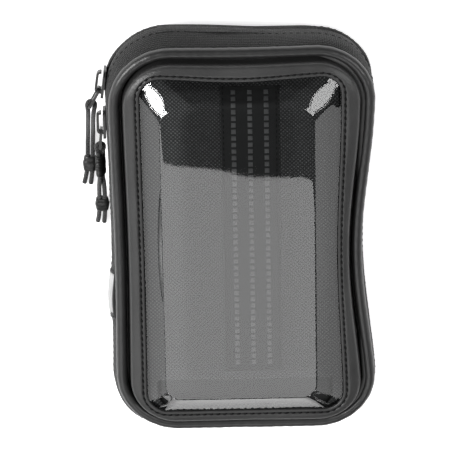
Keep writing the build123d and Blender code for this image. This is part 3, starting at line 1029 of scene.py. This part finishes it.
def strip_nubs(name, z, up, owner, node):
    """A fastening strip with rows of small nubs; up is the side they face."""
    y = middle(node).y
    o = block(name + "_tape", (66.0, 3.1, 0.3), TAPE, 0.1, at=(FLAP_X, y, z))
    body(o, owner, "tape_cloth", node)
    verts, faces = [], []
    for x in np.arange(-32.4, 32.5, 0.9):
        for dy in (-1.1, -0.35, 0.4, 1.15):
            cx = FLAP_X + x + rng.uniform(-0.15, 0.15)
            cy = y + dy + rng.uniform(-0.1, 0.1)
            start = len(verts)
            for w, h in ((0.16, 0.12), (0.10, 0.32), (0.17, 0.45)):
                for j in range(5):
                    a = 2 * math.pi * j / 5
                    verts.append((cx + w * math.cos(a), cy + w * math.sin(a), z + up * h))
            faces += bands(start, 3, 5)
            faces.append(cap(start + 10, 5))
    body(outward(mesh_object(name + "_nubs", np.array(verts), faces, COIL)), owner, "tape_cloth")


hook_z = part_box("flap_hook_strip")[0].z / MM + 0.12
loop_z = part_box("mouth_loop_strip")[1].z / MM - 0.14
strip_nubs("hook_strip", hook_z, 1, "pocket_flap", "flap_hook_strip")
strip_nubs("loop_strip", loop_z, -1, "lid", "mouth_loop_strip")

# ------------------------------------------------------------------ label


def patch(name, where, f_from, f_to, count, out, thick, material):
    """A flat piece on the front gusset; where holds its indices round the bag."""
    heights = np.linspace(f_from, f_to, count)
    face = [upper_wall(f, -out - thick)[where] for f in heights]
    back = [upper_wall(f, -out)[where] for f in heights]
    return lofted(name, face + back[::-1], material, around=False)


def label():
    """A small pale patch sewn on the left of the front gusset."""
    left = [i for i in range(N) if ZIP_O[i, 0] < -40]
    dark = [i for i in left if -40.6 < ZIP_O[i, 1] < -15.5]
    pale = [i for i in left if -37.6 < ZIP_O[i, 1] < -17.0]
    backing = patch("side_label_patch", dark, 0.16, 0.86, 9, 0.02, 0.40, LABEL_EDGE)
    body(backing, "lid", "label_cloth", "side_label")
    body(patch("side_label_face", pale, 0.24, 0.8, 7, 0.40, 0.22, LABEL), "lid", "label_cloth")
    edge = min(dark, key=lambda i: ZIP_O[i, 1] if ZIP_O[i, 1] > -40 else 0)
    line = np.array([upper_wall(f, -0.55)[edge] for f in np.linspace(0.26, 0.78, 12)])
    row = stitches("side_label_stitches", line, (-1.0, 0.0, 0.25), pitch=2.0, length=1.3, high=0.15, **TRIM)
    body(row, "lid", "label_cloth")


label()

# ------------------------------------------------------------------ CAD nodes that show as they are

for node, material in {
    "base_foam": FOAM, "base_magnets": MAGNET, "base_board": BOARD, "welt_core": BOARD, "face_foam": FOAM,
    "upper_slider": METAL, "lower_slider": METAL, "upper_pull_link": METAL, "lower_pull_link": METAL,
}.items():
    me = NODES[node].data
    me.materials.clear()
    me.materials.append(material)

# ------------------------------------------------------------------ pull cords

ROUTES = {
    "upper": [
        (-67.9, 16.3, 1.2), (-66.5, 21.5, 1.8), (-66.0, 30.7, 1.8), (-65.8, 36.4, 2.2),
        (-65.5, 41.9, 3.9), (-65.3, 47.1, 7.6), (-65.0, 52.2, 12.2), (-64.7, 57.5, 15.4),
        (-65.2, 61.7, 16.0), (-63.3, 62.9, 16.0), (-61.4, 61.5, 16.0), (-62.4, 57.3, 15.4),
        (-62.8, 52.0, 12.2), (-63.1, 47.0, 7.6), (-63.3, 41.8, 3.9), (-63.6, 36.3, 2.2),
        (-63.8, 30.6, 1.8), (-64.2, 21.4, 1.8), (-65.1, 15.9, 1.2),
    ],
    "lower": [
        (-62.6, -2.5, 1.3), (-61.5, 3.1, 3.0), (-61.4, 12.1, 5.6), (-61.3, 18.1, 8.4),
        (-60.7, 24.6, 11.6), (-60.6, 31.1, 14.6), (-60.8, 37.1, 16.7), (-61.9, 41.4, 16.2),
        (-60.0, 42.7, 16.0), (-58.1, 41.4, 15.8), (-59.5, 37.1, 14.8), (-59.6, 31.1, 12.6),
        (-59.7, 24.6, 9.6), (-59.1, 18.1, 7.4), (-59.1, 12.1, 5.6), (-59.2, 3.1, 3.0),
        (-59.8, -2.9, 1.3),
    ],
}


def axes(start, end, across):
    """Unit directions along a stretch of cord, across it and up from both."""
    axis = (end - start) / np.linalg.norm(end - start)
    across = across - axis * across.dot(axis)
    across = across / np.linalg.norm(across)
    return axis, across, np.cross(axis, across)


def crimp_sleeve(name):
    """A moulded barrel pressed round both legs of a pull cord."""
    r = [np.array(p) for p in ROUTES[name]]
    start, end = (r[1] + r[-2]) / 2, (r[2] + r[-3]) / 2
    axis, across, up = axes(start, end, r[1] - r[-2])
    mid = (start + end) / 2
    angles = np.linspace(0, 2 * math.pi, 36, endpoint=False)
    rings = []
    half = [(3.3, 0.80), (3.5, 0.90), (3.35, 0.97), (2.7, 1.0), (1.9, 1.07), (1.5, 1.01), (1.1, 1.12)]
    for t, w in [(-t, w) for t, w in half] + [(0.0, 1.16)] + half[::-1]:
        c, s = np.cos(angles), np.sin(angles)
        x = np.sign(c) * np.abs(c) ** 0.8 * 2.72 * w
        y = np.sign(s) * np.abs(s) ** 0.8 * 1.45 * w
        rings.append(mid + axis * t + across * x[:, None] + up * y[:, None])
    o = lofted(f"{name}_crimp_sleeve", rings, CRIMP)
    return body(o, f"{name}_pull", "crimp_plastic", f"{name}_pull_crimp")


def swept(name, path, radius, material, sides=8):
    """A round strand along a path, its two ends closed."""
    path = np.asarray(path, float)
    t = np.gradient(path, axis=0)
    t /= np.linalg.norm(t, axis=1)[:, None]
    ref = np.cross(t, (0.0, 0.0, 1.0) if abs(t[0][2]) < 0.9 else (0.0, 1.0, 0.0))
    ref /= np.linalg.norm(ref, axis=1)[:, None]
    other = np.cross(t, ref)
    rings = []
    for k in range(len(path)):
        taper = min(1.0, 0.35 + k * 0.3, 0.35 + (len(path) - 1 - k) * 0.3)
        a = np.linspace(0, 2 * math.pi, sides, endpoint=False)
        turn = np.cos(a)[:, None] * ref[k] + np.sin(a)[:, None] * other[k]
        rings.append(path[k] + turn * radius * taper)
    verts = np.concatenate(rings)
    faces = bands(0, len(path), sides)
    faces.append(cap(0, sides)[::-1])
    faces.append(cap((len(path) - 1) * sides, sides))
    u = np.repeat(np.arange(len(path)) * 0.4, sides)
    v = np.tile(np.arange(sides) * radius, len(path))
    return outward(mesh_object(name, verts, faces, material, np.column_stack([u, v])))


def cord_shade_wrap():
    """A near-black binding wound round both legs of the lower pull cord: painted shade, a dark piece
    standing where that cord lies in shadow.
    """
    low, high = np.array([-60.15, 25.4, 10.97]), np.array([-60.15, 37.4, 15.85])
    _, across, up = axes(low, high, np.array([0.42, 0.0, -0.91]))
    turns, steps = 13.0, 420
    path = []
    for k in range(steps):
        f = k / (steps - 1)
        a = 2 * math.pi * turns * f
        wide = 2.6 - 0.1 * math.cos(f * 7.0) + 0.08 * math.sin(k * 0.31)
        deep = 1.5 + 0.08 * math.sin(k * 0.23 + 1.0)
        path.append(low + (high - low) * f + across * math.cos(a) * wide + up * math.sin(a) * deep)
    o = swept("lower_cord_shade_wrap", path, 0.45, SHADE_WRAP)
    return body(o, "lower_pull", "cord_braid")


def pull_cord(name):
    curve = bpy.data.curves.new(f"{name}_cord_braid", "CURVE")
    curve.dimensions = "3D"
    curve.bevel_depth = 1.0 * MM
    curve.bevel_resolution = 5
    curve.resolution_u = 10
    curve.use_fill_caps = True
    s = curve.splines.new("NURBS")
    s.points.add(len(ROUTES[name]) - 1)
    for point, co in zip(s.points, ROUTES[name]):
        point.co = (*[c * MM for c in co], 1)
    s.order_u = 3
    s.use_endpoint_u = True
    curve.materials.append(CORD)
    o = shown(f"{name}_cord_braid", curve)
    body(o, f"{name}_pull", "cord_braid", f"{name}_pull_cord")
    sleeve = crimp_sleeve(name)


pull_cord("upper")
pull_cord("lower")
cord_shade_wrap()

# ------------------------------------------------------------------ stage

floor_mesh = bpy.data.meshes.new("floor")
corners = [(x, y, -0.0002) for x, y in ((-6, -6), (6, -6), (6, 6), (-6, 6))]
floor_mesh.from_pydata(corners, [], [(0, 1, 2, 3)])
floor_mesh.materials.append(floor_material())
shown("floor", floor_mesh)


def area_light(name, at, target, size, watts, size_y=None):
    data = bpy.data.lights.new(name, "AREA")
    data.energy = watts
    data.size = size
    if size_y:
        data.shape = "RECTANGLE"
        data.size_y = size_y
    o = shown(name, data)
    o.location = at
    o.rotation_euler = (Vector(target) - Vector(at)).to_track_quat("-Z", "Y").to_euler()
    o.visible_camera = False
    return o


area_light("key_left", (-1.06, 0.4, 1.22), (-0.035, 0.073, 0.04), 0.68, 26)
area_light("fill_right", (0.94, 0.27, 1.35), (0.035, 0.073, 0.04), 0.75, 10)
area_light("side_right", (1.32, -0.68, 0.42), (0.04, 0, 0.04), 1.5, 3.4, 0.6)
area_light("side_left", (-1.3, -0.6, 0.34), (-0.04, 0, 0.04), 1.5, 3.5, 0.6)
overhead = area_light("overhead", (-0.43, -0.94, 1.25), (-0.43, -0.94, 0.0), 1.3, 9.5, 0.9)
overhead.rotation_euler = (0, 0, math.radians(-9.9))

world = bpy.data.worlds.new("studio")
world.use_nodes = True
sky = world.node_tree
way = sky.nodes.new("ShaderNodeTexCoord")
split = sky.nodes.new("ShaderNodeSeparateXYZ")
fade = sky.nodes.new("ShaderNodeMapRange")
for key, value in (("From Min", 0.0), ("From Max", 0.6), ("To Min", 1.1), ("To Max", 0.36)):
    fade.inputs[key].default_value = value
sky.links.new(way.outputs["Generated"], split.inputs[0])
sky.links.new(split.outputs[2], fade.inputs["Value"])
sky.links.new(fade.outputs[0], sky.nodes["Background"].inputs[1])
bpy.context.scene.world = world
bpy.context.scene.view_settings.view_transform = "Standard"

# ------------------------------------------------------------------ camera

TILT, ROLL, AWAY = math.radians(27.0), math.radians(1.1), 1.95
target = Vector((-5.3, 6.9, 30.0)) * MM
back = Vector((0, math.sin(TILT), math.cos(TILT)))
up0 = Vector((0, math.cos(TILT), -math.sin(TILT)))
side_x = Vector((1, 0, 0))
right = side_x * math.cos(ROLL) - up0 * math.sin(ROLL)
up = side_x * math.sin(ROLL) + up0 * math.cos(ROLL)
camera_data = bpy.data.cameras.new("camera")
camera_data.lens = 355.6
camera_data.sensor_width = 36.0
camera = shown("camera", camera_data)
turned = Matrix((right, up, back)).transposed().to_4x4()
camera.matrix_world = Matrix.Translation(target + back * AWAY) @ turned
bpy.context.scene.camera = camera
